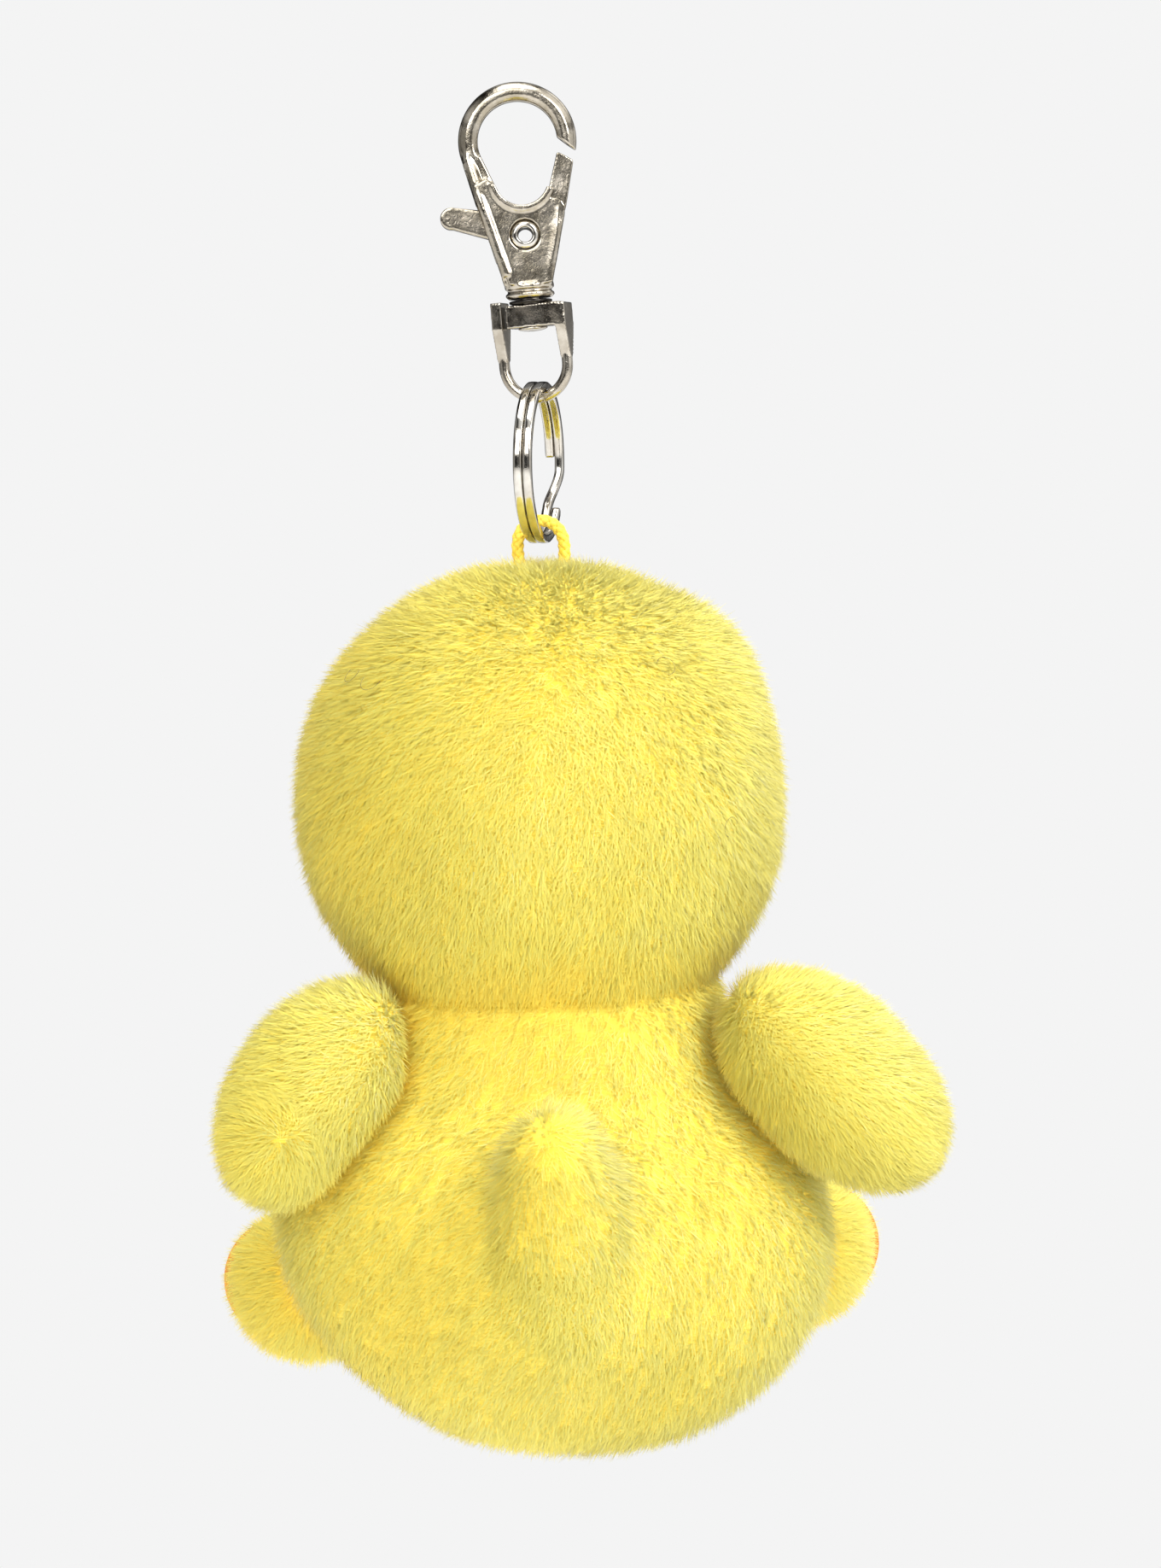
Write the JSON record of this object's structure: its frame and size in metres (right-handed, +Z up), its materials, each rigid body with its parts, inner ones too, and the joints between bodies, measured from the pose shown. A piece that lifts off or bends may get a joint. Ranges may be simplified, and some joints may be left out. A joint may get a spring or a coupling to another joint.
{
  "type": "plush keychain",
  "caption": "Small stuffed chick hung by a braided cord loop and split ring from a swivel lobster clasp, for clipping to keys or a bag.",
  "frame": {"origin": "centre of the round seat inside the clasp's hook, where it hangs from a strap, ring or bar", "axes": "+Z up along the hanging line, +Y through the hook from the chick's face side to its back; the face looks along -Y"},
  "size_m": [0.073, 0.0637, 0.1371],
  "materials": {
    "nickel": "gloss",
    "spring_steel": "satin",
    "cord": "matte",
    "pile": "matte",
    "filling": "matte",
    "felt": "matte",
    "eye": "gloss",
    "washer": "matte",
    "pellets": "matte"
  },
  "bodies": {
    "clasp": {"hook_body": "nickel", "gate_rivet": "nickel", "gate_spring": "spring_steel"},
    "gate": {"gate_lever": "nickel"},
    "swivel": {"swivel_loop": "nickel", "swivel_post": "nickel", "swivel_washer": "spring_steel"},
    "ring": {"split_ring": "nickel"},
    "chick": {"cord_loop": "cord", "cord_knot": "cord", "head_cover": "pile", "head_filling": "filling", "eye_left": "eye", "eye_right": "eye", "eye_washers": "washer", "beak_cover": "felt", "beak_filling": "filling", "body_cover": "pile", "body_filling": "filling", "pellet_pouch": "pellets", "tail_cover": "pile", "tail_filling": "filling", "foot_left_cover": "pile", "foot_left_filling": "filling", "foot_right_cover": "pile", "foot_right_filling": "filling", "foot_soles": "felt"},
    "wing_left": {"wing_left_cover": "pile", "wing_left_filling": "filling"},
    "wing_right": {"wing_right_cover": "pile", "wing_right_filling": "filling"}
  },
  "joints": [
    {"name": "gate_hinge", "type": "hinge", "parent": "clasp", "child": "gate", "pos_m": [-0.00079, 0, -0.00943], "axis": [0, 1, 0], "range_deg": [0, 25], "stiffness_Nm_per_rad": 0.03, "springref_deg": -17.19},
    {"name": "swivel_spin", "type": "hinge", "parent": "clasp", "child": "swivel", "pos_m": [0, 0, 0], "axis": [0.0837, 0, 0.9965], "continuous": true},
    {"name": "ring_swing", "type": "hinge", "parent": "swivel", "child": "ring", "pos_m": [-0.00215, 0, -0.02556], "axis": [0.9477, -0.309, -0.0796], "range_deg": [-60, 60]},
    {"name": "chick_swing", "type": "hinge", "parent": "ring", "child": "chick", "pos_m": [-0.00215, 0, -0.03958], "axis": [0.2079, 0.9781, 0], "range_deg": [-50, 50]},
    {"name": "wing_left_lift", "type": "hinge", "parent": "chick", "child": "wing_left", "pos_m": [0.012, 0.0123, -0.086], "axis": [0, -1, 0], "range_deg": [0, 30], "stiffness_Nm_per_rad": 0.002},
    {"name": "wing_right_lift", "type": "hinge", "parent": "chick", "child": "wing_right", "pos_m": [-0.022, 0.011, -0.0845], "axis": [0, 1, 0], "range_deg": [0, 30], "stiffness_Nm_per_rad": 0.002}
  ]
}
